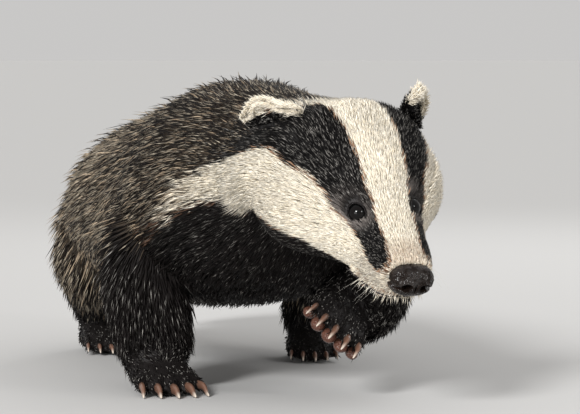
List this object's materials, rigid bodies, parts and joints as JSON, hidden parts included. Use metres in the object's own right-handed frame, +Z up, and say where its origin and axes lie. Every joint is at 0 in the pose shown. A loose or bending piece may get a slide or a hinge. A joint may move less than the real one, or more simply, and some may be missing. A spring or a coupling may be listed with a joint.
{
  "type": "european badger",
  "caption": "Life-size European badger walking with a forepaw lifted: striped head held low and turned aside, cup ears, long grizzled coat, dark legs, long foreclaws and a short bushy tail.",
  "frame": {"origin": "on the floor, under the middle of the animal's outer box", "axes": "+Z up, +Y towards the tail along the trunk, the muzzle towards -Y, the animal's own left side towards +X"},
  "size_m": [0.234, 0.797, 0.2289],
  "materials": {
    "face_fur": "short fur, cream white with black stripes",
    "grey_coat": "long bristly grizzled fur",
    "black_fur": "short dark fur",
    "ear_fur": "short fur, white rim over a dark cup",
    "nose_leather": "moist pebbled skin",
    "eye_gloss": "wet gloss"
  },
  "bodies": {
    "root": {"head": "face_fur", "nose": "nose_leather", "ear_right": "ear_fur", "ear_left": "ear_fur", "eye_right": "eye_gloss", "eye_left": "eye_gloss", "neck": "grey_coat", "shoulders": "grey_coat", "barrel": "grey_coat", "rump": "grey_coat", "tail": "grey_coat", "foreleg_right": "black_fur", "foreleg_left": "black_fur", "forepaw_right": "black_fur", "forepaw_left": "black_fur", "hindleg_right": "black_fur", "hindleg_left": "black_fur", "hindpaw_right": "black_fur", "hindpaw_left": "black_fur"}
  },
  "joints": []
}
